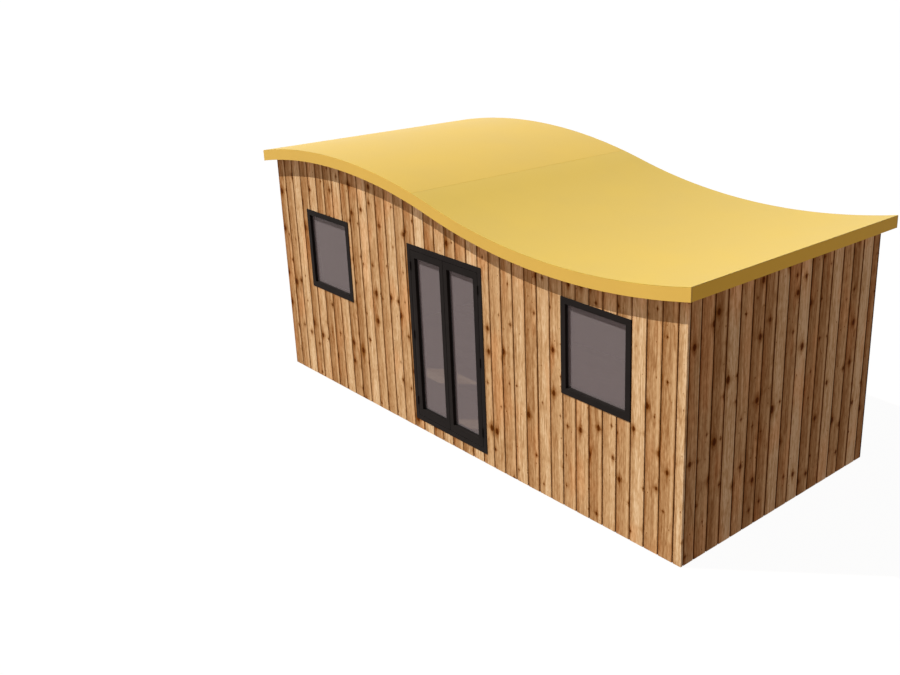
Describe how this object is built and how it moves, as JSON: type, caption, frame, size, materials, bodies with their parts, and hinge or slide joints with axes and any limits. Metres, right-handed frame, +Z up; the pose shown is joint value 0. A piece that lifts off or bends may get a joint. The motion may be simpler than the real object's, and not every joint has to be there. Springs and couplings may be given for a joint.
{
  "type": "holiday chalet",
  "caption": "Timber holiday chalet with vertical board cladding, a wave-shaped yellow roof, fixed windows and a pair of outward-opening glazed doors.",
  "frame": {"origin": "centre of the building's box at ground level", "axes": "+Z up, +X along the length towards the low end of the roof, and -Y towards the doors"},
  "size_m": [6.966, 3.216, 3.003],
  "materials": {
    "base_timber": "pressure-treated softwood, sawn",
    "deck_ply": "structural plywood, bare",
    "floor_boards": "oak-look boards, matt lacquer",
    "wall_lining": "boarded panel, matt off-white paint inside",
    "cladding": "knotty softwood boards, clear oiled, smooth planed",
    "frame_black": "black powder coat, satin",
    "glass": "clear double glazing with a grey tint",
    "hinge_black": "black powder coat, satin",
    "roof_lining": "pale plywood, clear matt",
    "roof_yellow": "moulded glass-fibre roof skin and edge boards, satin yellow"
  },
  "bodies": {
    "building": {"base_beams": "base_timber", "base_end_beams": "base_timber", "floor_joists": "base_timber", "floor_deck": "deck_ply", "floor_boards": "floor_boards", "front_wall_left_pier": "wall_lining", "front_wall_left_apron": "wall_lining", "front_wall_mid_left": "wall_lining", "front_wall_mid_right": "wall_lining", "front_wall_right_apron": "wall_lining", "front_wall_right_pier": "wall_lining", "front_wall_head": "wall_lining", "back_wall": "wall_lining", "left_wall": "wall_lining", "right_wall": "wall_lining", "front_cladding": "cladding", "back_cladding": "cladding", "left_cladding": "cladding", "right_cladding": "cladding", "left_window_frame": "frame_black", "left_window_glass": "glass", "right_window_frame": "frame_black", "right_window_glass": "glass", "window_beads": "frame_black", "door_jambs": "frame_black", "door_head": "frame_black", "door_threshold": "frame_black", "left_hinge_bases": "hinge_black", "right_hinge_bases": "hinge_black", "roof_panel_left": "roof_lining", "roof_panel_right": "roof_lining", "roof_cover_left": "roof_yellow", "roof_cover_right": "roof_yellow", "front_fascia": "roof_yellow", "back_fascia": "roof_yellow", "left_fascia": "roof_yellow", "right_fascia": "roof_yellow"},
    "left_leaf": {"left_leaf_frame": "frame_black", "left_leaf_glass": "glass", "left_hinge_wings": "hinge_black"},
    "right_leaf": {"right_leaf_frame": "frame_black", "right_leaf_glass": "glass", "right_hinge_wings": "hinge_black"}
  },
  "joints": [
    {"name": "left_leaf_hinge", "type": "hinge", "parent": "building", "child": "left_leaf", "pos_m": [-0.5815, -1.5125, 1.17], "axis": [0, 0, -1], "range_deg": [0, 90]},
    {"name": "right_leaf_hinge", "type": "hinge", "parent": "building", "child": "right_leaf", "pos_m": [0.5815, -1.5125, 1.17], "axis": [0, 0, 1], "range_deg": [0, 90]}
  ]
}
